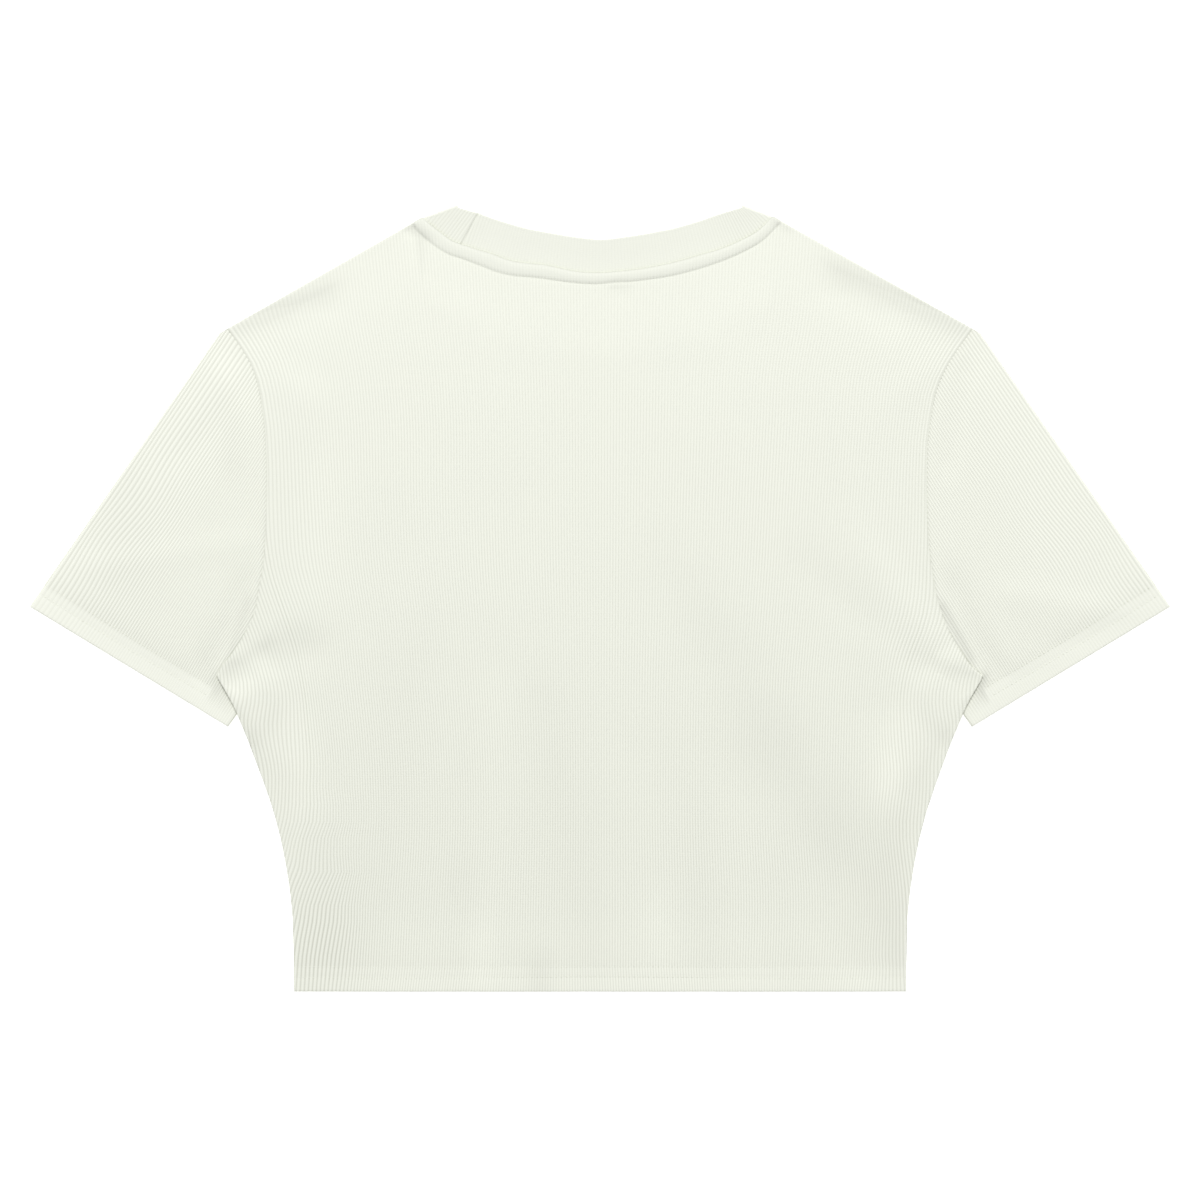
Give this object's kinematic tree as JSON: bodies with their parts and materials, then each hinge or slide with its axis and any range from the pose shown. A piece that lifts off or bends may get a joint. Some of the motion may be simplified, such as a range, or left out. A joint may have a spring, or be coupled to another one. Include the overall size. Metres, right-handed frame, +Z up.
{
  "type": "crop top",
  "caption": "Short-sleeved crop top in fine rib knit with a round rib neckband, lying flat on its front with the back panel on top.",
  "frame": {"origin": "middle of the garment's outline, on the surface that it lies on", "axes": "+X to the wearer's right across both sleeves, +Y towards the neck, +Z up through the back panel, which is on top"},
  "size_m": [0.6254, 0.4307, 0.0061],
  "materials": {
    "back_rib": "matt ivory rib knit",
    "front_rib": "matt ivory rib knit",
    "sleeve_left_rib": "matt ivory rib knit",
    "sleeve_right_rib": "matt ivory rib knit",
    "neckband_rib": "matt ivory rib knit, doubled"
  },
  "bodies": {
    "root": {"back": "back_rib", "front": "front_rib", "sleeve_left": "sleeve_left_rib", "sleeve_right": "sleeve_right_rib", "neckband": "neckband_rib"}
  },
  "joints": []
}
